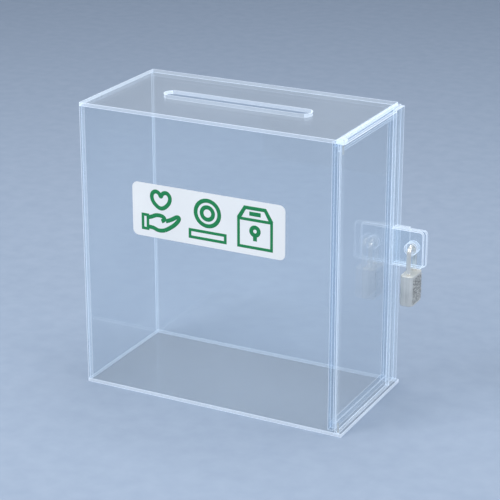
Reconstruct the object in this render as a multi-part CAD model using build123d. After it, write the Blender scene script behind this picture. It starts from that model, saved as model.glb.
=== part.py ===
from build123d import *
import os

# Clear acrylic donation box with a side door, a hasp and a small pin-tumbler padlock.
# Millimetres. Origin at the centre of the base's underside, +Z up, front wall at -Y,
# side door at +X.

# ---- box sizes
LENGTH = 240.0            # X, bottom panel
DEPTH = 120.0             # Y, outside of the two long walls
HEIGHT = 250.0            # Z, floor to top face
SHEET = 3.0               # acrylic sheet
DOOR_REBATE = 5.5         # long walls stop this far short of the bottom panel's end
TOP_REBATE = 8.5          # top panel stops this far short of it
BAR = 5.0                 # square bars glued round the open end
HEAD_RAIL_TOP_GAP = 1.4   # head rail sits this far below the top face
HEAD_RAIL_HEIGHT = 8.6

# ---- collecting slot
SLOT_LENGTH = 135.0
SLOT_WIDTH = 15.0
SLOT_CENTRE_X = -5.5

# ---- label
LABEL_LENGTH = 139.5
LABEL_HEIGHT = 46.0
LABEL_THICKNESS = 0.2
LABEL_CENTRE_X = -1.2
LABEL_CENTRE_Z = 167.0
LABEL_CORNER = 5.0

# ---- door and pivots
DOOR_SHEET = 3.0
DOOR_GAP = 0.3            # all-round running gap of the door
STRIP_WIDTH = 16.2        # closing strip beside the door
STRIP_TOP_GAP = 2.3
PIN_RADIUS = 0.8
PIN_RUNNING_GAP = 0.05
PIN_IN_DOOR = 8.0
PIN_IN_BOTTOM = 2.2
PIVOT_INSET = 2.0         # pivot axis back from the front face
EAR_WIDTH = 8.0           # along Y
EAR_CORNER = 3.0

# ---- hasp
TAB_SHEET = 3.0
TAB_HEIGHT = 32.0
TAB_CENTRE_Z = 132.0
TAB_CORNER = 3.0
DOOR_TAB_REACH = 28.0
FIXED_TAB_REACH = 29.6
DOUBLER_REACH = 13.0
TAB_GAP = 1.6             # between the two tabs
HOLE_RADIUS = 5.25
HOLE_OUT = 17.5           # hole centre out from the closing strip's face

# ---- padlock
WIRE_RADIUS = 1.9
LEG_SPACING = 13.0
SHACKLE_RISE = 25.5       # case top to the outside of the bend
SHACKLE_APEX = 4.0        # outside of the bend above the hole centre
LONG_LEG_DEPTH = 16.0
SHORT_LEG_DEPTH = 6.5
LEG_BORE_GAP = 0.1
LEG_BORE_SPARE = 0.5
CASE_X = 12.0
CASE_Y = 23.0
CASE_Z = 26.5
CASE_ROUND = 4.5
CASE_CHAMFER = 0.5
DROP_TRAVEL = 7.0

CORE_RADIUS = 3.45
CORE_GAP = 0.05
CORE_LENGTH = 20.0
KEYWAY_X = 1.2
KEYWAY_Y = 5.0
KEYWAY_DEPTH = 16.0
KEYWAY_OFFSET_Y = -0.8
CHAMBER_RADIUS = 1.0
PIN_GAP = 0.05
CHAMBER_FIRST_Z = 4.5     # up from the case's underside
CHAMBER_PITCH = 3.6
CHAMBER_COUNT = 3
KEY_PIN_INNER = 1.0       # key pin's inner end, from the core axis
DRIVER_LENGTH = 2.4
PLUG_LENGTH = 1.6
PLUG_INSET = 0.2
SPRING_WIRE = 0.15        # radius of the springs' wire
PIN_SPRING_TURNS = 4
BOLT_SPRING_TURNS = 2
CROSS_PIN_WALL = 1.0      # case left beyond the two cross pins
RETAINER_RADIUS = 0.5
RETAINER_FROM_TOP = 3.5   # down from the core's top
GROOVE_DEPTH = 0.6
GROOVE_HALF = 0.65

BOLT_X = 5.0
BOLT_Z = 2.6
BOLT_FROM_TOP = 4.0       # bolt axis down from the case's top
BOLT_GAP = 0.1
BOLT_TRAVEL = 1.0
BOLT_CLEAR = 0.2          # drawn bolt's nose to the leg
BOLT_LENGTH = 7.0
BOLT_POCKET_WALL = 0.4    # left between the bolt's pocket and the long leg's bore
CAM_RADIUS = 0.5
CAM_HEIGHT = 2.4
CAM_SLOT_GAP = 0.3
NOTCH_SPARE = 0.3
WAIST_RADIUS = 1.3        # long leg's turned-down length
STAY_RADIUS = 0.6         # pin that keeps the long leg in the case
STAY_FROM_TOP = 6.7
STAY_GAP = 0.2

# ---- worked out from the sizes above
END_X = LENGTH / 2
LEFT_X = -END_X
FRONT_Y = -DEPTH / 2
BACK_Y = DEPTH / 2
WALL_END_X = END_X - DOOR_REBATE
TOP_END_X = END_X - TOP_REBATE
WALL_TOP_Z = HEIGHT - SHEET
BAR_X = TOP_END_X - BAR
STRIP_Y = BACK_Y - STRIP_WIDTH
STRIP_FACE_X = WALL_END_X + SHEET
DOOR_X = WALL_END_X + DOOR_GAP
DOOR_FACE_X = DOOR_X + DOOR_SHEET
PIVOT_X = DOOR_X + DOOR_SHEET / 2
PIVOT_Y = FRONT_Y + PIVOT_INSET
DOOR_BOTTOM_Z = SHEET + DOOR_GAP
DOOR_TOP_Z = WALL_TOP_Z - DOOR_GAP
DOOR_EDGE_Y = STRIP_Y - DOOR_GAP
HOLE_X = STRIP_FACE_X + HOLE_OUT
STACK_Y = STRIP_Y - TAB_GAP / 2       # mid-plane between the two tabs
DOOR_TAB_Y = STACK_Y - TAB_GAP / 2 - TAB_SHEET
APEX_Z = TAB_CENTRE_Z + SHACKLE_APEX
CASE_TOP_Z = APEX_Z - SHACKLE_RISE
CASE_BOTTOM_Z = CASE_TOP_Z - CASE_Z
BEND_RADIUS = LEG_SPACING / 2
BEND_Z = APEX_Z - WIRE_RADIUS - BEND_RADIUS
FRONT_LEG_Y = STACK_Y - LEG_SPACING / 2
BACK_LEG_Y = STACK_Y + LEG_SPACING / 2
CORE_TOP_Z = CASE_BOTTOM_Z + CORE_LENGTH
BOLT_AXIS_Z = CASE_TOP_Z - BOLT_FROM_TOP
BOLT_NOSE_Y = FRONT_LEG_Y + WIRE_RADIUS + BOLT_CLEAR
BOLT_REAR_Y = BOLT_NOSE_Y + BOLT_LENGTH
BOLT_POCKET_Y = BACK_LEG_Y - WIRE_RADIUS - LEG_BORE_GAP - BOLT_POCKET_WALL
STAY_Z = CASE_TOP_Z - STAY_FROM_TOP
STAY_Y = BACK_LEG_Y - WAIST_RADIUS - STAY_RADIUS - PIN_GAP
CHAMBER_ZS = [CASE_BOTTOM_Z + CHAMBER_FIRST_Z + CHAMBER_PITCH * i for i in range(CHAMBER_COUNT)]
CROSS_PIN_END_X = HOLE_X + CASE_X / 2 - CROSS_PIN_WALL
DRIVER_Y = STACK_Y - CORE_RADIUS - CORE_GAP - PIN_GAP
PLUG_Y = STACK_Y - CASE_Y / 2 + PLUG_INSET


def block(x0, x1, y0, y1, z0, z1):
    """A box between two corners."""
    size = (x1 - x0, y1 - y0, z1 - z0)
    return Pos((x0 + x1) / 2, (y0 + y1) / 2, (z0 + z1) / 2) * Box(*size)


def rod_z(x, y, radius, z0, z1):
    """A round bar along Z."""
    return Pos(x, y, (z0 + z1) / 2) * Cylinder(radius, z1 - z0)


def rod_y(x, z, radius, y0, y1):
    """A round bar along Y."""
    return Pos(x, (y0 + y1) / 2, z) * Rot(90, 0, 0) * Cylinder(radius, y1 - y0)


def rod_x(y, z, radius, x0, x1):
    """A round bar along X."""
    return Pos((x0 + x1) / 2, y, z) * Rot(0, 90, 0) * Cylinder(radius, x1 - x0)


def coil(radius, wire, turns, length):
    """A helical spring of the given overall length, standing on the origin along +Z."""
    rise = length - 2 * wire
    path = Helix(pitch=rise / turns, height=rise, radius=radius)
    section = Plane(origin=path @ 0, z_dir=path % 0) * Circle(wire)
    return Pos(0, 0, wire) * sweep(section, path=path, is_frenet=True)


# ---- glued box
def bottom_panel():
    panel = block(LEFT_X, END_X, FRONT_Y, BACK_Y, 0, SHEET)
    bore = PIN_RADIUS + PIN_RUNNING_GAP
    return panel - rod_z(PIVOT_X, PIVOT_Y, bore, SHEET - PIN_IN_BOTTOM, SHEET + 1)


def long_wall(outer_y, inner_y):
    return block(LEFT_X, WALL_END_X, min(outer_y, inner_y), max(outer_y, inner_y), SHEET, WALL_TOP_Z)


def left_end_panel():
    return block(LEFT_X, LEFT_X + SHEET, FRONT_Y + SHEET, BACK_Y - SHEET, SHEET, WALL_TOP_Z)


def top_panel():
    panel = block(LEFT_X, TOP_END_X, FRONT_Y, BACK_Y, WALL_TOP_Z, HEIGHT)
    slot = extrude(SlotOverall(SLOT_LENGTH, SLOT_WIDTH), SHEET + 2)
    return panel - Pos(SLOT_CENTRE_X, 0, WALL_TOP_Z - 1) * slot


def head_rail():
    """Strip on edge across the head of the door opening, rebated over the back wall and
    notched for the pivot ear."""
    top = HEIGHT - HEAD_RAIL_TOP_GAP
    low = block(TOP_END_X, WALL_END_X, FRONT_Y + SHEET, BACK_Y - SHEET, top - HEAD_RAIL_HEIGHT, WALL_TOP_Z)
    high = block(TOP_END_X, WALL_END_X, FRONT_Y + EAR_WIDTH, BACK_Y, WALL_TOP_Z, top)
    return low + high


def upright_bar(wall_inner_y, inward):
    y = sorted((wall_inner_y, wall_inner_y + inward * BAR))
    return block(BAR_X, TOP_END_X, y[0], y[1], SHEET, WALL_TOP_Z)


def cross_bar(z0):
    inset = SHEET + BAR
    return block(BAR_X, TOP_END_X, FRONT_Y + inset, BACK_Y - inset, z0, z0 + BAR)


def closing_strip():
    return block(WALL_END_X, STRIP_FACE_X, STRIP_Y, BACK_Y, SHEET, HEIGHT - STRIP_TOP_GAP)


def pivot_ear():
    """Small plate over the door's front top corner, with the top pivot's bore."""
    outer_x = PIVOT_X + PIVOT_INSET
    ear = block(TOP_END_X, outer_x, FRONT_Y, FRONT_Y + EAR_WIDTH, WALL_TOP_Z, HEIGHT)
    edges = ear.edges().filter_by(Axis.Z).group_by(Axis.X)[-1].sort_by(Axis.Y)
    ear = fillet(edges[0], PIVOT_INSET - 0.05)
    edges = ear.edges().filter_by(Axis.Z).sort_by(Axis.Y)
    ear = fillet([e for e in edges if e.center().X > outer_x - 0.01][-1], EAR_CORNER)
    return ear - rod_z(PIVOT_X, PIVOT_Y, PIN_RADIUS + PIN_RUNNING_GAP, WALL_TOP_Z - 1, HEIGHT + 1)


# ---- hasp
def hasp_plate(x0, reach, y0, with_hole=True):
    """Plate standing out of the end face, outer corners rounded, with the padlock's hole."""
    half = TAB_HEIGHT / 2
    plate = block(x0, x0 + reach, y0, y0 + TAB_SHEET, TAB_CENTRE_Z - half, TAB_CENTRE_Z + half)
    plate = fillet(plate.edges().filter_by(Axis.Y).group_by(Axis.X)[-1], TAB_CORNER)
    if with_hole:
        plate -= rod_y(HOLE_X, TAB_CENTRE_Z, HOLE_RADIUS, y0 - 1, y0 + TAB_SHEET + 1)
    return plate


def hasp_doubler():
    half = TAB_HEIGHT / 2
    y0 = STRIP_Y + TAB_SHEET
    z0, z1 = TAB_CENTRE_Z - half, TAB_CENTRE_Z + half
    return block(STRIP_FACE_X, STRIP_FACE_X + DOUBLER_REACH, y0, y0 + TAB_SHEET, z0, z1)


def label_sticker():
    face = RectangleRounded(LABEL_LENGTH, LABEL_HEIGHT, LABEL_CORNER)
    sticker = extrude(face, LABEL_THICKNESS)
    return Pos(LABEL_CENTRE_X, FRONT_Y, LABEL_CENTRE_Z) * Rot(90, 0, 0) * sticker


# ---- door
def door_panel():
    """Sheet with a bullnosed hinge edge, bored at both ends of that edge for the pivots."""
    panel = block(DOOR_X, DOOR_FACE_X, PIVOT_Y, DOOR_EDGE_Y, DOOR_BOTTOM_Z, DOOR_TOP_Z)
    panel += rod_z(PIVOT_X, PIVOT_Y, DOOR_SHEET / 2, DOOR_BOTTOM_Z, DOOR_TOP_Z)
    panel -= rod_z(PIVOT_X, PIVOT_Y, PIN_RADIUS, DOOR_BOTTOM_Z, DOOR_BOTTOM_Z + PIN_IN_DOOR)
    panel -= rod_z(PIVOT_X, PIVOT_Y, PIN_RADIUS, DOOR_TOP_Z - PIN_IN_DOOR, DOOR_TOP_Z)
    return panel


def top_pivot_pin():
    return rod_z(PIVOT_X, PIVOT_Y, PIN_RADIUS, DOOR_TOP_Z - PIN_IN_DOOR, HEIGHT)


def bottom_pivot_pin():
    foot = SHEET - PIN_IN_BOTTOM + PIN_RUNNING_GAP
    return rod_z(PIVOT_X, PIVOT_Y, PIN_RADIUS, foot, DOOR_BOTTOM_Z + PIN_IN_DOOR)


# ---- padlock
def padlock_shackle():
    """Bent wire: bend, short front leg with the bolt's notch, long back leg with a waist."""
    short_z = CASE_TOP_Z - SHORT_LEG_DEPTH
    long_z = CASE_TOP_Z - LONG_LEG_DEPTH
    bend = Rot(0, 90, 0) * Torus(BEND_RADIUS, WIRE_RADIUS)
    bend = Pos(HOLE_X, STACK_Y, BEND_Z) * bend
    reach = LEG_SPACING
    bend &= block(HOLE_X - reach, HOLE_X + reach, STACK_Y - reach, STACK_Y + reach, BEND_Z, BEND_Z + reach)
    wire = bend + rod_z(HOLE_X, FRONT_LEG_Y, WIRE_RADIUS, short_z, BEND_Z)
    wire += rod_z(HOLE_X, BACK_LEG_Y, WIRE_RADIUS, long_z, BEND_Z)
    notch_y = BOLT_NOSE_Y - BOLT_TRAVEL - NOTCH_SPARE
    half = BOLT_Z / 2 + NOTCH_SPARE
    notch = (HOLE_X - reach, HOLE_X + reach, notch_y, BOLT_NOSE_Y)
    wire -= block(*notch, BOLT_AXIS_Z - half, BOLT_AXIS_Z + half)
    waist_top = STAY_Z + STAY_RADIUS + STAY_GAP
    waist_bottom = STAY_Z - STAY_RADIUS - STAY_GAP - DROP_TRAVEL
    sleeve = rod_z(HOLE_X, BACK_LEG_Y, WIRE_RADIUS + 1, waist_bottom, waist_top)
    return wire - (sleeve - rod_z(HOLE_X, BACK_LEG_Y, WAIST_RADIUS, waist_bottom, waist_top))


def padlock_case():
    body = extrude(RectangleRounded(CASE_X, CASE_Y, CASE_ROUND), CASE_Z)
    rims = body.edges().group_by(Axis.Z)
    body = chamfer(rims[0] + rims[-1], CASE_CHAMFER)
    body = Pos(HOLE_X, STACK_Y, CASE_BOTTOM_Z) * body
    bore = WIRE_RADIUS + LEG_BORE_GAP
    short_z = CASE_TOP_Z - SHORT_LEG_DEPTH - LEG_BORE_SPARE
    long_z = CASE_TOP_Z - LONG_LEG_DEPTH - LEG_BORE_SPARE
    body -= rod_z(HOLE_X, FRONT_LEG_Y, bore, short_z, CASE_TOP_Z + 1)
    body -= rod_z(HOLE_X, BACK_LEG_Y, bore, long_z, CASE_TOP_Z + 1)
    barrel = CORE_RADIUS + CORE_GAP
    body -= rod_z(HOLE_X, STACK_Y, barrel, CASE_BOTTOM_Z - 1, CORE_TOP_Z + CORE_GAP)
    half_x, half_z = BOLT_X / 2 + BOLT_GAP, BOLT_Z / 2 + BOLT_GAP
    pocket = (HOLE_X - half_x, HOLE_X + half_x, FRONT_LEG_Y, BOLT_POCKET_Y)
    body -= block(*pocket, BOLT_AXIS_Z - half_z, BOLT_AXIS_Z + half_z)
    swing = BOLT_TRAVEL + CAM_RADIUS + CAM_SLOT_GAP
    body -= rod_z(HOLE_X, STACK_Y, swing, CORE_TOP_Z, BOLT_AXIS_Z)
    for z in CHAMBER_ZS:
        body -= rod_y(HOLE_X, z, CHAMBER_RADIUS, STACK_Y - CASE_Y, STACK_Y)
    body -= rod_x(*core_retainer_axis(), RETAINER_RADIUS, HOLE_X - CASE_X, CROSS_PIN_END_X)
    return body - rod_x(STAY_Y, STAY_Z, STAY_RADIUS, HOLE_X - CASE_X, CROSS_PIN_END_X)


def core_retainer_axis():
    return STACK_Y + CORE_RADIUS, CORE_TOP_Z - RETAINER_FROM_TOP


def cross_pin(y, z, radius):
    """Pin driven in from the case's rear face, flush with it."""
    return rod_x(y, z, radius, HOLE_X - CASE_X / 2, CROSS_PIN_END_X)


def padlock_core():
    """Turning barrel: keyway, key-pin holes, retaining groove and the cam that draws the bolt."""
    core = rod_z(HOLE_X, STACK_Y, CORE_RADIUS, CASE_BOTTOM_Z, CORE_TOP_Z)
    groove_z = CORE_TOP_Z - RETAINER_FROM_TOP
    ring = (groove_z - GROOVE_HALF, groove_z + GROOVE_HALF)
    waist = CORE_RADIUS - GROOVE_DEPTH
    core -= rod_z(HOLE_X, STACK_Y, CORE_RADIUS + 1, *ring) - rod_z(HOLE_X, STACK_Y, waist, *ring)
    slot_y = STACK_Y + KEYWAY_OFFSET_Y
    keyway = (HOLE_X - KEYWAY_X / 2, HOLE_X + KEYWAY_X / 2, slot_y - KEYWAY_Y / 2, slot_y + KEYWAY_Y / 2)
    core -= block(*keyway, CASE_BOTTOM_Z - 1, CASE_BOTTOM_Z + KEYWAY_DEPTH)
    for z in CHAMBER_ZS:
        core -= rod_y(HOLE_X, z, CHAMBER_RADIUS, STACK_Y - CORE_RADIUS - 1, STACK_Y - KEY_PIN_INNER)
    return core + rod_z(HOLE_X, STACK_Y + BOLT_TRAVEL, CAM_RADIUS, CORE_TOP_Z, CORE_TOP_Z + CAM_HEIGHT)


def tumblers(y_far, y_near, radius):
    """One round pin in every chamber between two Y positions."""
    return Compound(children=[rod_y(HOLE_X, z, radius, y_far, y_near) for z in CHAMBER_ZS])


def key_pins():
    """Their outer ends stop with their rims inside the core's round, so that it can turn."""
    outer = (CORE_RADIUS ** 2 - CHAMBER_RADIUS ** 2) ** 0.5
    return tumblers(STACK_Y - outer, STACK_Y - KEY_PIN_INNER - PIN_GAP, CHAMBER_RADIUS - PIN_GAP)


def driver_pins():
    return tumblers(DRIVER_Y - DRIVER_LENGTH, DRIVER_Y, CHAMBER_RADIUS - PIN_GAP)


def chamber_plugs():
    return tumblers(PLUG_Y, PLUG_Y + PLUG_LENGTH, CHAMBER_RADIUS)


def pin_springs():
    y0 = PLUG_Y + PLUG_LENGTH
    length = DRIVER_Y - DRIVER_LENGTH - y0
    spring = coil(CHAMBER_RADIUS - 2 * SPRING_WIRE, SPRING_WIRE, PIN_SPRING_TURNS, length)
    return Compound(children=[Pos(HOLE_X, y0, z) * Rot(-90, 0, 0) * spring for z in CHAMBER_ZS])


def locking_bolt():
    half_x, half_z = BOLT_X / 2, BOLT_Z / 2
    z0, z1 = BOLT_AXIS_Z - half_z, BOLT_AXIS_Z + half_z
    bolt = block(HOLE_X - half_x, HOLE_X + half_x, BOLT_NOSE_Y, BOLT_REAR_Y, z0, z1)
    cam_y = STACK_Y + BOLT_TRAVEL
    half = CAM_RADIUS + CAM_SLOT_GAP
    x0, x1 = HOLE_X - BOLT_TRAVEL - half, HOLE_X + half
    return bolt - block(x0, x1, cam_y - half, cam_y + half, z0 - 1, CORE_TOP_Z + CAM_HEIGHT + BOLT_GAP)


def bolt_spring():
    spring = coil(BOLT_Z / 2 - 3 * SPRING_WIRE, SPRING_WIRE, BOLT_SPRING_TURNS, BOLT_POCKET_Y - BOLT_REAR_Y)
    return Pos(HOLE_X, BOLT_REAR_Y, BOLT_AXIS_Z) * Rot(-90, 0, 0) * spring


PIECES = {
    "bottom_panel": bottom_panel(),
    "front_panel": long_wall(FRONT_Y, FRONT_Y + SHEET),
    "back_panel": long_wall(BACK_Y, BACK_Y - SHEET),
    "left_end_panel": left_end_panel(),
    "top_panel": top_panel(),
    "head_rail": head_rail(),
    "front_frame_bar": upright_bar(FRONT_Y + SHEET, 1),
    "back_frame_bar": upright_bar(BACK_Y - SHEET, -1),
    "bottom_frame_bar": cross_bar(SHEET),
    "top_frame_bar": cross_bar(WALL_TOP_Z - BAR),
    "closing_strip": closing_strip(),
    "pivot_ear": pivot_ear(),
    "fixed_hasp_tab": hasp_plate(STRIP_FACE_X, FIXED_TAB_REACH, STRIP_Y),
    "hasp_doubler": hasp_doubler(),
    "label_sticker": label_sticker(),
    "door_panel": door_panel(),
    "door_hasp_tab": hasp_plate(DOOR_FACE_X, DOOR_TAB_REACH, DOOR_TAB_Y),
    "top_pivot_pin": top_pivot_pin(),
    "bottom_pivot_pin": bottom_pivot_pin(),
    "padlock_shackle": padlock_shackle(),
    "padlock_case": padlock_case(),
    "padlock_core": padlock_core(),
    "core_retaining_pin": cross_pin(*core_retainer_axis(), RETAINER_RADIUS),
    "shackle_stay_pin": cross_pin(STAY_Y, STAY_Z, STAY_RADIUS),
    "key_pins": key_pins(),
    "driver_pins": driver_pins(),
    "pin_springs": pin_springs(),
    "chamber_plugs": chamber_plugs(),
    "locking_bolt": locking_bolt(),
    "bolt_spring": bolt_spring(),
}

os.makedirs("parts", exist_ok=True)
for name, piece in PIECES.items():
    export_step(piece, f"parts/{name}.step")
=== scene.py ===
import math

import bpy
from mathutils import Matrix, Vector


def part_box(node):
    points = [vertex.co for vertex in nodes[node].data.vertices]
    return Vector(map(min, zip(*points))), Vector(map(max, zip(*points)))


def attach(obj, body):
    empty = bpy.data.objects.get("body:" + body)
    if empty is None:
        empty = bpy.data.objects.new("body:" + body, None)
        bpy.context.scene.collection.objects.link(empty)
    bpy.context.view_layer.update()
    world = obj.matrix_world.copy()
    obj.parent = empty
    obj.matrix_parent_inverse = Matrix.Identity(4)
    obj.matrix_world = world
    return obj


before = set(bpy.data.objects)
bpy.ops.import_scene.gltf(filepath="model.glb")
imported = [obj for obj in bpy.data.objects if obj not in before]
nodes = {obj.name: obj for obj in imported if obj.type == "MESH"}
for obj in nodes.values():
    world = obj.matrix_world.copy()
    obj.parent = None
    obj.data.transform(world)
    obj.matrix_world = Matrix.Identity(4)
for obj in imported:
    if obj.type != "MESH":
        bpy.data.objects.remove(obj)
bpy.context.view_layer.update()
MM = 0.001


# ---- Panels: bottom, front, back, left end and top.
# Clear cast acrylic sheet, sawn to size and cemented edge to edge. Its faces are polished and almost
# unseen;
# cut edges and arrises show as pale lines, painted as highlights in a bright bluish colour with a painted
# glow.
ARRIS = 0.30 * MM
FACE_TINT = (0.975, 0.988, 0.996, 1)
# EDGE_COLOUR and EDGE_GLOW paint the pale edge lines: a bright bluish base colour and an emitted painted
# glow.
EDGE_COLOUR = (0.88, 0.94, 1.0, 1)
EDGE_GLOW = (0.62, 0.76, 0.95, 1)


class Flow:
    """A shader socket; an operator on it adds the Math node that does the sum."""

    def __init__(self, tree, socket=None):
        self.tree = tree
        self.socket = socket

    def node(self, kind, settings=None, values=None, out=0):
        made = self.tree.nodes.new(kind)
        for key, value in (settings or {}).items():
            if key == "stops":
                for stop, (place, colour) in zip(made.color_ramp.elements, value):
                    stop.position = place
                    stop.color = colour
            else:
                setattr(made, key, value)
        for key, value in (values or {}).items():
            if isinstance(value, Flow):
                self.tree.links.new(value.socket, made.inputs[key])
            else:
                made.inputs[key].default_value = value
        return Flow(self.tree, made.outputs[out])

    def sum(self, operation, *terms):
        settings = {"operation": operation}
        return self.node("ShaderNodeMath", settings, dict(enumerate(terms)))

    def __add__(self, other):
        return self.sum("ADD", self, other)

    __radd__ = __add__

    def __sub__(self, other):
        return self.sum("SUBTRACT", self, other)

    def __rsub__(self, other):
        return self.sum("SUBTRACT", other, self)

    def __mul__(self, other):
        return self.sum("MULTIPLY", self, other)

    __rmul__ = __mul__

    def __pow__(self, other):
        return self.sum("POWER", self, other)

    def __rpow__(self, other):
        return self.sum("POWER", other, self)

    def __lt__(self, other):
        return self.sum("LESS_THAN", self, other)

    def __gt__(self, other):
        return self.sum("GREATER_THAN", self, other)

    def __or__(self, other):
        return self.sum("MAXIMUM", self, other)

    __ror__ = __or__

    def __and__(self, other):
        return self.sum("MINIMUM", self, other)

    __rand__ = __and__

    def __abs__(self):
        return self.sum("ABSOLUTE", self)

    def noise(self, scale, detail=2.0, stretch=(1, 1, 1)):
        """Noise on Object coordinates; a larger stretch makes it finer along that axis."""
        place = self.node("ShaderNodeTexCoord", out=3)
        place = self.node("ShaderNodeMapping", values={0: place, 3: stretch})
        return self.node("ShaderNodeTexNoise", values={"Vector": place, "Scale": scale, "Detail": detail})

    def xyz(self, out):
        """The three parts of Object coordinates (out=3) or of the object's normal (out=1)."""
        split = self.node("ShaderNodeSeparateXYZ", values={0: self.node("ShaderNodeTexCoord", out=out)})
        return [Flow(self.tree, s) for s in split.socket.node.outputs]


def new_material(name):
    """An empty node tree, wrapped, with its output node."""
    material = bpy.data.materials.new(name)
    material.use_nodes = True
    material.node_tree.nodes.clear()
    return material, Flow(material.node_tree)


def finish_material(flow, shader):
    output = flow.tree.nodes.new("ShaderNodeOutputMaterial")
    flow.tree.links.new(shader.socket, output.inputs[0])


def dress(node, material):
    """Gives a CAD node its one material."""
    nodes[node].data.materials.clear()
    nodes[node].data.materials.append(material)


def clear_sheet(name, node, cuts, haze=0.0, shape=None, joined=(), line=0.7, tint=FACE_TINT):
    """Acrylic for a CAD node with flat sides. cuts gives its cut edges that stand in air, as
    axis and sign, with how strongly each shows, set side by side as painted light; line sets the painted
    highlight lines along free arrises. joined lists the sides cemented to a neighbour, which have no arris
    of their own. shape adds the painted highlight lines of holes and round corners."""
    material, flow = new_material(name)
    place = flow.xyz(3)
    normal = flow.xyz(1)
    low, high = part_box(node)
    sides = 0.0
    for i, axis in enumerate("xyz"):
        near = 0.0
        if axis + "-" not in joined:
            near = (place[i] - low[i] < ARRIS) + near
        if axis + "+" not in joined:
            near = (high[i] - place[i] < ARRIS) + near
        sides = near + sides
    # Painted highlight lines along every arris that stands in air.
    body = (sides > 1.5) * line
    saw = flow.noise(900, 3.0) * 0.6 + 0.7
    wave = flow.noise(14, 1.0) * 0.6 + 0.7
    # Cut faces: a real frosted saw finish with streaks, its strength per side set as painted light.
    for side, strength in cuts.items():
        facing = normal["xyz".index(side[0])] * (1 if side[1] == "+" else -1) > 0.5
        body = body | facing * saw * wave * strength
    if shape is not None:
        round_line, round_cut = shape(place, normal)
        body = body | round_line * line | round_cut * saw
    smear = flow.noise(9, 3.0) * 0.05 - 0.018 | 0.0
    facing = flow.node("ShaderNodeLayerWeight", values={"Blend": 0.5}, out=1)
    mirror = facing ** 4.5 * 0.94 + 0.06
    clear = flow.node("ShaderNodeBsdfTransparent", values={"Color": tint})
    gloss = flow.node("ShaderNodeBsdfAnisotropic", values={"Color": (1, 1, 1, 1), "Roughness": 0.005})
    face = flow.node("ShaderNodeMixShader", values={0: mirror, 1: clear, 2: gloss})
    bump = flow.node("ShaderNodeBump", values={"Strength": 0.3, "Distance": 0.0002, "Height": saw})
    # The edge shader glows by emission, a painted glow, wherever body, haze or smear mix it in.
    edge = flow.node("ShaderNodeBsdfPrincipled", values={
        "Base Color": EDGE_COLOUR, "Roughness": 0.32, "Normal": bump,
        "Emission Color": EDGE_GLOW, "Emission Strength": 0.32})
    amount = (body | smear) + haze & 0.95
    finish_material(flow, flow.node("ShaderNodeMixShader", values={0: amount, 1: face, 2: edge}))
    dress(node, material)


SLOT_LENGTH = 135.0 * MM
SLOT_WIDTH = 15.0 * MM
SLOT_CENTRE_X = -5.5 * MM


def slot_lines(place, normal):
    """Painted highlight line round the coin slot's rim on the top face, and its flame-polished wall,
    painted brighter on the far side than the near.
    """
    half = (SLOT_LENGTH - SLOT_WIDTH) / 2
    along = abs(place[0] - SLOT_CENTRE_X) - half | 0.0
    reach = (along * along + place[1] * place[1]) ** 0.5 - SLOT_WIDTH / 2
    rim_highlight = (normal[2] > 0.5) * (reach < 0.5 * MM)
    far_wall_highlight = (place[1] > 0.0) * 0.3 + 0.05
    return rim_highlight, (reach < 0.05 * MM) * far_wall_highlight


# Per-side strengths of cut edges and arris lines are painted light, set edge by edge.
clear_sheet("acrylic_bottom", "bottom_panel", {"x+": 0.6, "x-": 0.4, "y+": 0.2, "y-": 0.45})
clear_sheet("acrylic_front", "front_panel", {"x+": 0.14, "x-": 0.35}, joined=("z+", "z-"))
clear_sheet("acrylic_back", "back_panel", {"x+": 0.2, "x-": 0.2}, joined=("z+", "z-"), line=0.5)
clear_sheet("acrylic_left_end", "left_end_panel", {"y-": 0.22, "y+": 0.12}, joined=("z+", "z-"), line=0.45)
clear_sheet("acrylic_top", "top_panel", {"x+": 0.8, "x-": 0.7, "y+": 0.12, "y-": 0.3}, shape=slot_lines)


# ---- Frame round the open end: four square bars, a head rail and the closing strip.
# Bars of the same acrylic, sawn square, polished and cemented inside the walls to stiffen the
# open end and give the door something to close on.
BAR_TINT = (0.86, 0.905, 0.95, 1)
# Cut-edge strengths here are painted light.
for bar in ("front_frame_bar", "back_frame_bar", "top_frame_bar", "bottom_frame_bar"):
    clear_sheet("acrylic_" + bar, bar, {"x+": 0.12}, haze=0.02, tint=BAR_TINT)
clear_sheet("acrylic_head_rail", "head_rail", {"z+": 0.18, "z-": 0.15}, haze=0.01)
clear_sheet("acrylic_closing_strip", "closing_strip", {"y-": 0.2, "z+": 0.4}, haze=0.01)
clear_sheet("acrylic_pivot_ear", "pivot_ear", {"x+": 0.5, "y-": 0.5, "y+": 0.3, "z+": 0.15}, haze=0.05)


# ---- Door panel and its two pivot pins.
# One sheet hung on two pins at its front edge, which is bullnosed so that it clears the wall
# as it turns. All four edges are polished and stand in air. The pins are bright plated wire.
# Edge and arris-line strengths on the door are painted light.
clear_sheet("acrylic_door", "door_panel", {"y+": 0.12, "y-": 0.08, "z+": 0.2, "z-": 0.25}, line=0.85)


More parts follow.
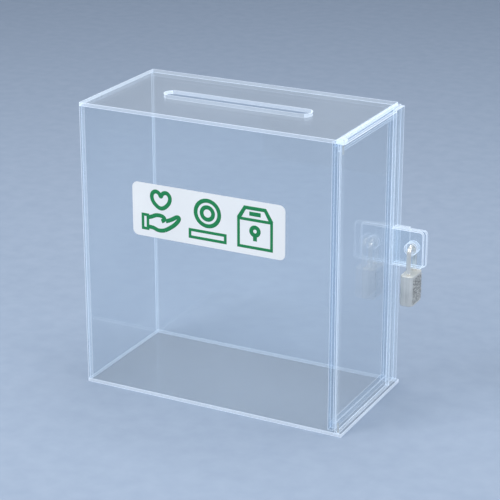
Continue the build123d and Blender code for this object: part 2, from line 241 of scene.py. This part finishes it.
def brushed_metal(name, colour, rough, stretch, scale=900, metal=1.0, deep=0.25, panel=None):
    """Drawn or polished metal. stretch sets the way its grain runs; panel gives a field of painted shade
    with darker painted specks.
    """
    material, flow = new_material(name)
    grain = flow.noise(scale, 3.0, stretch)
    wear = flow.noise(90, 4.0)
    darker = tuple(c * 0.72 for c in colour[:3]) + (1,)
    mottle = grain * 0.5 + wear * 0.5
    tone = flow.node("ShaderNodeValToRGB", {"stops": [(0.3, darker), (0.7, colour)]}, {0: mottle})
    bump = flow.node("ShaderNodeBump", values={"Strength": deep, "Distance": 0.0001, "Height": grain})
    rough = wear * 0.16 + rough
    if panel is not None:
        # Painted shade: the field is pulled 20% toward a dark tone, and 95% in random specks.
        field = panel(flow.xyz(3), flow.xyz(1))
        shade_tone = tuple(c * 0.3 for c in colour[:3]) + (1,)
        speck_shade = field * ((flow.noise(750, 1.0) > 0.5) * 0.75 + 0.2)
        tone = flow.node("ShaderNodeMix", {"data_type": "RGBA"}, {0: speck_shade, 6: tone, 7: shade_tone}, out=2)
        rough = rough + field * 0.2
    finish_material(flow, flow.node("ShaderNodeBsdfPrincipled", values={
        "Base Color": tone, "Metallic": metal, "Roughness": rough, "Normal": bump}))
    return material


PLATE = (0.96, 0.94, 0.88, 1)
bright_wire = brushed_metal("shackle_plate", PLATE, 0.14, (1, 1, 0.2), 600, metal=0.55, deep=0.08)
for node in ("top_pivot_pin", "bottom_pivot_pin"):
    dress(node, bright_wire)


# ---- Hasp: a tab on the door, a tab on the closing strip and a short doubler behind it.
# Offcuts of the same sheet with rounded outer corners and a drilled hole for the shackle,
# cemented on edge to the end face.
HOLE_RADIUS = 5.25 * MM
TAB_CORNER = 3.0 * MM
HOLE_OUT = 17.5 * MM
tab_low, tab_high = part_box("fixed_hasp_tab")
strip_face_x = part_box("closing_strip")[1].x
HOLE_X = strip_face_x + HOLE_OUT
TAB_Z = (tab_low.z + tab_high.z) / 2


def tab_lines(tip_x):
    def lines(place, normal):
        """Painted highlight lines along the drilled hole's rim and the tab's two rounded corners, and the
        hole's wall.
        """
        across = place[0] - HOLE_X
        up = abs(place[2] - TAB_Z)
        reach = (across * across + up * up) ** 0.5 - HOLE_RADIUS
        half = (tab_high.z - tab_low.z) / 2 - TAB_CORNER
        out = place[0] - (tip_x - TAB_CORNER) | 0.0
        top = up - half | 0.0
        corner = (out * out + top * top) ** 0.5 - TAB_CORNER
        rounded = (out > 0.01 * MM) * (top > 0.01 * MM)
        near = corner > -0.4 * MM
        flat = abs(normal[1]) > 0.5
        return ((reach < 0.4 * MM) | rounded * near) * flat, (reach < 0.05 * MM) * 0.2
    return lines


# Edge, rim and corner-line strengths on the tabs are painted light.
for tab in ("fixed_hasp_tab", "door_hasp_tab"):
    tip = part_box(tab)[1].x
    cuts = {"x+": 0.3, "z+": 0.25, "z-": 0.2}
    clear_sheet("acrylic_" + tab, tab, cuts, shape=tab_lines(tip), joined=("x-",), line=0.95)
clear_sheet("acrylic_hasp_doubler", "hasp_doubler", {"x+": 0.3, "z+": 0.25, "z-": 0.2}, joined=("x-", "y-"))


# ---- Label on the front wall.
# White vinyl sticker with rounded corners, laid by hand on the outside of the front panel.
# Semi-matt film with a very fine orange-peel surface and a little handling grime.
def label_vinyl():
    material, flow = new_material("label_vinyl")
    peel = flow.noise(2600, 2.0)
    grime = flow.noise(22, 4.0)
    shades = [(0.3, (0.92, 0.92, 0.90, 1)), (0.7, (0.97, 0.97, 0.945, 1))]
    colour = flow.node("ShaderNodeValToRGB", {"stops": shades}, {0: grime})
    bump = flow.node("ShaderNodeBump", values={"Strength": 0.12, "Distance": 0.00005, "Height": peel})
    finish_material(flow, flow.node("ShaderNodeBsdfPrincipled", values={
        "Base Color": colour, "Roughness": grime * 0.12 + 0.38, "Normal": bump}))
    return material


dress("label_sticker", label_vinyl())


# ---- Printing on the label.
# Three plain green signs in even strokes: a hand under a heart, a coin over a slot, and a
# closed box. Screen ink, so each stroke stands a hair above the vinyl.
label_low, label_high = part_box("label_sticker")
INK_THICKNESS = 0.05 * MM
SIGN_HEIGHT = 36.0 * MM
STROKE = 1.75 * MM
INK_GREEN = (0.004, 0.26, 0.075, 1)
INK_THIN = (0.003, 0.22, 0.062, 1)


def ink():
    material, flow = new_material("label_ink")
    mottle = flow.noise(420, 3.0)
    shades = [(0.25, INK_THIN), (0.75, INK_GREEN)]
    colour = flow.node("ShaderNodeValToRGB", {"stops": shades}, {0: mottle})
    bump = flow.node("ShaderNodeBump", values={"Strength": 0.15, "Distance": 0.00004, "Height": mottle})
    finish_material(flow, flow.node("ShaderNodeBsdfPrincipled", values={
        "Base Color": colour, "Roughness": mottle * 0.1 + 0.35, "Normal": bump}))
    return material


def ink_strokes(name, centre_x, strokes):
    """Strokes in a square from -1 to 1, laid on the label as a thin mesh. A stroke is
    (closed, smooth, points): straight from point to point, or a smooth line that they guide."""
    curve = bpy.data.curves.new(name, "CURVE")
    curve.dimensions = "3D"
    curve.bevel_depth = STROKE
    curve.bevel_resolution = 3
    curve.use_fill_caps = True
    curve.resolution_u = 10
    for closed, smooth, points in strokes:
        spline = curve.splines.new("NURBS" if smooth else "POLY")
        spline.points.add(len(points) - 1)
        for point, (u, v) in zip(spline.points, points):
            point.co = (centre_x + u * SIGN_HEIGHT / 2, v * SIGN_HEIGHT / 2, 0, 1)
        if smooth:
            spline.order_u = 3
        spline.use_cyclic_u = closed
        if smooth and not closed:
            spline.use_endpoint_u = True
    holder = bpy.data.objects.new(name, curve)
    bpy.context.scene.collection.objects.link(holder)
    bpy.context.view_layer.update()
    graph = bpy.context.evaluated_depsgraph_get()
    mesh = bpy.data.meshes.new_from_object(holder.evaluated_get(graph))
    bpy.data.objects.remove(holder)
    face_y = label_low.y
    mid_z = (label_low.z + label_high.z) / 2
    for vertex in mesh.vertices:
        x, z, depth = vertex.co
        vertex.co = (x, face_y - INK_THICKNESS * (0.5 + 0.5 * depth / STROKE), mid_z + z)
    piece = bpy.data.objects.new(name, mesh)
    bpy.context.scene.collection.objects.link(piece)
    mesh.materials.clear()
    mesh.materials.append(INK)
    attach(piece, "box")


def ring(cx, cy, rx, ry, count=12):
    """Control points of a round or oval closed stroke."""
    turn = 2 * math.pi / count
    return [(cx + rx * math.cos(i * turn), cy + ry * math.sin(i * turn)) for i in range(count)]


INK = ink()
label_mid_x = (label_low.x + label_high.x) / 2
SIGN_PITCH = 43.0 * MM
heart_half = [(0, 0.10), (-0.42, 0.42), (-0.50, 0.78), (-0.30, 0.98), (-0.08, 0.90), (0, 0.70)]
heart = heart_half + [(-x, y) for x, y in reversed(heart_half[1:-1])]
palm = [(-0.66, -0.34), (-0.50, -0.30), (-0.25, -0.16), (0.10, -0.18), (0.22, -0.34), (0.02, -0.44)]
fingers = [(0.24, -0.40), (0.52, -0.30), (0.86, -0.06), (0.98, -0.20), (0.60, -0.62), (0.20, -0.84)]
heel = [(0.20, -0.84), (-0.10, -0.94), (-0.45, -0.78), (-0.66, -0.80)]
cuff = [(-0.96, -0.24), (-0.70, -0.24), (-0.70, -0.90), (-0.96, -0.90)]
ink_strokes("label_sign_heart", label_mid_x - SIGN_PITCH, [
    (True, True, heart),
    (False, True, palm),
    (False, True, fingers),
    (False, True, heel),
    (True, False, cuff)])
ink_strokes("label_sign_coin", label_mid_x, [
    (True, True, ring(0, 0.32, 0.62, 0.62)),
    (True, True, ring(0, 0.32, 0.30, 0.30)),
    (True, False, [(-0.90, -0.58), (0.90, -0.58), (0.90, -0.92), (-0.90, -0.92)])])
ink_strokes("label_sign_box", label_mid_x + SIGN_PITCH, [
    (True, False, [(-0.82, 0.38), (0.82, 0.38), (0.82, -0.92), (-0.82, -0.92)]),
    (False, False, [(-0.82, 0.38), (-0.50, 0.92), (0.50, 0.92), (0.82, 0.38)]),
    (False, False, [(-0.28, 0.66), (0.28, 0.66)]),
    (True, True, ring(0, -0.14, 0.20, 0.20, 8)),
    (False, False, [(0, -0.34), (0, -0.60)])])


# ---- Cement in the seams, and dust.
# Solvent cement run in along the tabs' and bars' feet traps small bubbles, which show as a speckled band
# in a bright bluish colour with a painted glow. A few specks of dust lie on the front wall.
def scatter_tree():
    """Scatters domes over a patch, lying flat on it, from named sizes and a fixed seed."""
    tree = bpy.data.node_groups.new("scatter_domes", "GeometryNodeTree")
    face = tree.interface
    face.new_socket("Patch", in_out="INPUT", socket_type="NodeSocketGeometry")
    for label, value in (("Density", 1.2e6), ("Smallest", 0.0001), ("Largest", 0.0004), ("Flatness", 1.0)):
        face.new_socket(label, in_out="INPUT", socket_type="NodeSocketFloat").default_value = value
    face.new_socket("Seed", in_out="INPUT", socket_type="NodeSocketInt").default_value = 7
    face.new_socket("Finish", in_out="INPUT", socket_type="NodeSocketMaterial")
    face.new_socket("Domes", in_out="OUTPUT", socket_type="NodeSocketGeometry")
    given = tree.nodes.new("NodeGroupInput")
    result = tree.nodes.new("NodeGroupOutput")
    scatter = tree.nodes.new("GeometryNodeDistributePointsOnFaces")
    ball = tree.nodes.new("GeometryNodeMeshIcoSphere")
    size = tree.nodes.new("FunctionNodeRandomValue")
    height = tree.nodes.new("ShaderNodeMath")
    extent = tree.nodes.new("ShaderNodeCombineXYZ")
    place = tree.nodes.new("GeometryNodeInstanceOnPoints")
    real = tree.nodes.new("GeometryNodeRealizeInstances")
    coat = tree.nodes.new("GeometryNodeSetMaterial")
    ball.inputs["Radius"].default_value = 1.0
    ball.inputs["Subdivisions"].default_value = 1
    height.operation = "MULTIPLY"
    link = tree.links.new
    link(given.outputs["Patch"], scatter.inputs["Mesh"])
    link(given.outputs["Density"], scatter.inputs["Density"])
    link(given.outputs["Seed"], scatter.inputs["Seed"])
    link(given.outputs["Smallest"], size.inputs[2])
    link(given.outputs["Largest"], size.inputs[3])
    link(given.outputs["Seed"], size.inputs["Seed"])
    link(size.outputs[1], height.inputs[0])
    link(given.outputs["Flatness"], height.inputs[1])
    link(size.outputs[1], extent.inputs[0])
    link(size.outputs[1], extent.inputs[1])
    link(height.outputs[0], extent.inputs[2])
    link(scatter.outputs["Points"], place.inputs["Points"])
    link(scatter.outputs["Rotation"], place.inputs["Rotation"])
    link(ball.outputs["Mesh"], place.inputs["Instance"])
    link(extent.outputs[0], place.inputs["Scale"])
    link(place.outputs["Instances"], real.inputs[0])
    link(real.outputs[0], coat.inputs["Geometry"])
    link(given.outputs["Finish"], coat.inputs["Material"])
    link(coat.outputs[0], result.inputs[0])
    return tree


def bubble_skin():
    material, flow = new_material("cement_bubble")
    speck = flow.noise(3000, 1.0)
    # Bright bluish colour and emission: a painted glow on the bubbles.
    finish_material(flow, flow.node("ShaderNodeBsdfPrincipled", values={
        "Base Color": EDGE_COLOUR, "Roughness": speck * 0.2 + 0.1, "Alpha": 0.75,
        "Emission Color": EDGE_GLOW, "Emission Strength": 0.25}))
    return material


def dust_skin():
    material, flow = new_material("dust")
    lint = flow.noise(2000, 2.0)
    finish_material(flow, flow.node("ShaderNodeBsdfPrincipled", values={
        "Base Color": (0.85, 0.86, 0.86, 1), "Roughness": lint * 0.2 + 0.7, "Alpha": 0.6}))
    return material


DOMES = scatter_tree()
BUBBLE_SKIN = bubble_skin()


def scatter(name, body, slot, patches, finish, density, sizes, flatness, seed):
    """Domes over flat patches, each given by three corners, as one finished mesh. The density
    is in domes to the square metre."""
    corners, faces = [], []
    for a, b, d in patches:
        a, b, d = Vector(a), Vector(b), Vector(d)
        faces.append(tuple(range(len(corners), len(corners) + 4)))
        corners += [a, b, b + d - a, d]
    patch = bpy.data.meshes.new(name + "_patch")
    patch.from_pydata(corners, [], faces)
    holder = bpy.data.objects.new(name + "_patch", patch)
    bpy.context.scene.collection.objects.link(holder)
    modifier = holder.modifiers.new("domes", "NODES")
    modifier.node_group = DOMES
    wanted = {"Density": density, "Smallest": sizes[0], "Largest": sizes[1], "Flatness": flatness,
              "Seed": seed, "Finish": finish}
    for item in DOMES.interface.items_tree:
        if item.in_out == "INPUT" and item.name in wanted:
            modifier[item.identifier] = wanted[item.name]
    bpy.context.view_layer.update()
    graph = bpy.context.evaluated_depsgraph_get()
    mesh = bpy.data.meshes.new_from_object(holder.evaluated_get(graph))
    bpy.data.objects.remove(holder)
    piece = bpy.data.objects.new(name, mesh)
    bpy.context.scene.collection.objects.link(piece)
    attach(piece, body)


def cement(name, body, patches, density, seed):
    sizes = (0.08 * MM, 0.26 * MM)
    scatter(name, body, "clear_acrylic", patches, BUBBLE_SKIN, density, sizes, 0.6, seed)


SEAM_INSET = 0.3 * MM
TAB_BUBBLES = 1.6e6
BAR_BUBBLES = 4.0e5
for tab, body, seed in (("fixed_hasp_tab", "box", 3), ("door_hasp_tab", "door", 5)):
    low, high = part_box(tab)
    x = low.x + SEAM_INSET
    y0, y1 = low.y + SEAM_INSET, high.y - SEAM_INSET
    z0, z1 = low.z + MM, high.z - MM
    cement(tab + "_cement", body, [((x, y0, z0), (x, y1, z0), (x, y0, z1))], TAB_BUBBLES, seed)

FOOT = 14.0 * MM
BAR_INSET = 0.4 * MM
bar_feet = []
for bar, wall_is_high in (("front_frame_bar", False), ("back_frame_bar", True)):
    low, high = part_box(bar)
    y = high.y - SEAM_INSET if wall_is_high else low.y + SEAM_INSET
    x0, x1 = low.x + BAR_INSET, high.x - BAR_INSET
    for z in (low.z + BAR_INSET, high.z - FOOT):
        bar_feet.append(((x0, y, z), (x1, y, z), (x0, y, z + FOOT - BAR_INSET)))
cement("frame_bar_cement", "box", bar_feet, BAR_BUBBLES, 11)

DUST_SIZES = (0.06 * MM, 0.2 * MM)
DUST_SPECKS = 1400
low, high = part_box("front_panel")
front_patch = ((low.x, low.y, low.z), (high.x, low.y, low.z), (low.x, low.y, high.z))
scatter("front_dust", "box", "clear_acrylic", [front_patch], dust_skin(), DUST_SPECKS, DUST_SIZES, 0.4, 21)


# ---- Padlock.
# Small pin-tumbler padlock: a satin-plated die-cast case with stippled wide faces darkened by painted
# shade, a bright bent-wire shackle, and a brass core showing its keyway underneath.
PANEL_BORDER = 1.8 * MM
case_low, case_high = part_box("padlock_case")


def sunk_panel(place, normal):
    """The textured field on each wide face of the case, inside a plain border, where painted shade goes."""
    mid_y = (case_low.y + case_high.y) / 2
    mid_z = (case_low.z + case_high.z) / 2
    half_y = (case_high.y - case_low.y) / 2 - PANEL_BORDER
    half_z = (case_high.z - case_low.z) / 2 - PANEL_BORDER
    inside = (abs(place[1] - mid_y) < half_y) * (abs(place[2] - mid_z) < half_z)
    return inside * (abs(normal[0]) > 0.9)


SATIN = (0.84, 0.835, 0.79, 1)
# The case's wide faces get painted shade through sunk_panel.
satin = brushed_metal("case_satin", SATIN, 0.34, (1, 1, 0.05), metal=0.4, panel=sunk_panel)
pin_steel = brushed_metal("pin_steel", (0.58, 0.59, 0.60, 1), 0.24, (1, 1, 1))
turned_brass = brushed_metal("turned_brass", (0.78, 0.60, 0.28, 1), 0.2, (1, 1, 6))
dress("padlock_case", satin)
dress("chamber_plugs", satin)
y0, y1 = case_low.y + PANEL_BORDER, case_high.y - PANEL_BORDER
z0, z1 = case_low.z + PANEL_BORDER, case_high.z - PANEL_BORDER
stipple = [((x, y0, z0), (x, y1, z0), (x, y0, z1)) for x in (case_low.x, case_high.x)]
STIPPLE_SIZES = (0.3 * MM, 0.6 * MM)
STIPPLE_DOMES = 5.0e5
scatter("case_stipple", "lock_case", "case_metal", stipple, satin, STIPPLE_DOMES, STIPPLE_SIZES, 0.2, 31)
dress("padlock_shackle", bright_wire)
for node in ("padlock_core", "key_pins", "driver_pins", "locking_bolt"):
    dress(node, turned_brass)
for node in ("core_retaining_pin", "shackle_stay_pin", "pin_springs", "bolt_spring"):
    dress(node, pin_steel)


# ---- Floor, light and camera.
# A plain pale paper floor under soft studio light, seen from the right of the front, above it.
def floor_paper():
    material, flow = new_material("floor_paper")
    fibre = flow.noise(60, 4.0)
    shades = [(0.3, (0.27, 0.335, 0.435, 1)), (0.7, (0.295, 0.36, 0.46, 1))]
    colour = flow.node("ShaderNodeValToRGB", {"stops": shades}, {0: fibre})
    paper = {"Base Color": colour, "Roughness": 0.75}
    finish_material(flow, flow.node("ShaderNodeBsdfPrincipled", values=paper))
    return material


FLOOR_HALF = 12.0
floor_mesh = bpy.data.meshes.new("studio_floor")
floor_corners = [(x * FLOOR_HALF, y * FLOOR_HALF, 0) for x, y in ((-1, -1), (1, -1), (1, 1), (-1, 1))]
floor_mesh.from_pydata(floor_corners, [], [(0, 1, 2, 3)])
floor_mesh.materials.append(floor_paper())
floor_object = bpy.data.objects.new("studio_floor", floor_mesh)
bpy.context.scene.collection.objects.link(floor_object)


def softbox(name, place, aim, size, power):
    lamp = bpy.data.lights.new(name, "AREA")
    lamp.shape = "RECTANGLE"
    lamp.size, lamp.size_y = size
    lamp.energy = power
    holder = bpy.data.objects.new(name, lamp)
    holder.location = place
    holder.rotation_euler = (Vector(aim) - Vector(place)).to_track_quat("-Z", "Y").to_euler()
    bpy.context.scene.collection.objects.link(holder)


softbox("key", (-0.9, -1.2, 1.5), (0, 0, 0.12), (0.9, 0.9), 26)
softbox("fill", (1.5, -0.4, 0.9), (0, 0, 0.12), (0.8, 0.8), 9)
softbox("top", (0.1, 0.3, 1.6), (0, 0, 0.1), (1.2, 0.8), 14)

world = bpy.data.worlds.new("studio")
world.use_nodes = True
world.node_tree.nodes["Background"].inputs[0].default_value = (0.72, 0.80, 0.92, 1)
world.node_tree.nodes["Background"].inputs[1].default_value = 0.55
bpy.context.scene.world = world

camera_data = bpy.data.cameras.new("camera")
camera_data.lens = 128.0
camera_data.sensor_width = 36.0
camera_data.clip_start = 0.05
camera = bpy.data.objects.new("camera", camera_data)
camera.location = (0.64646, -1.24330, 0.64667)
look = Vector((-0.42864, 0.83256, -0.35087))
camera.rotation_euler = look.to_track_quat("-Z", "Y").to_euler()
bpy.context.scene.collection.objects.link(camera)
bpy.context.scene.camera = camera
bpy.context.scene.view_settings.view_transform = "Standard"
bpy.context.scene.cycles.transparent_max_bounces = 48
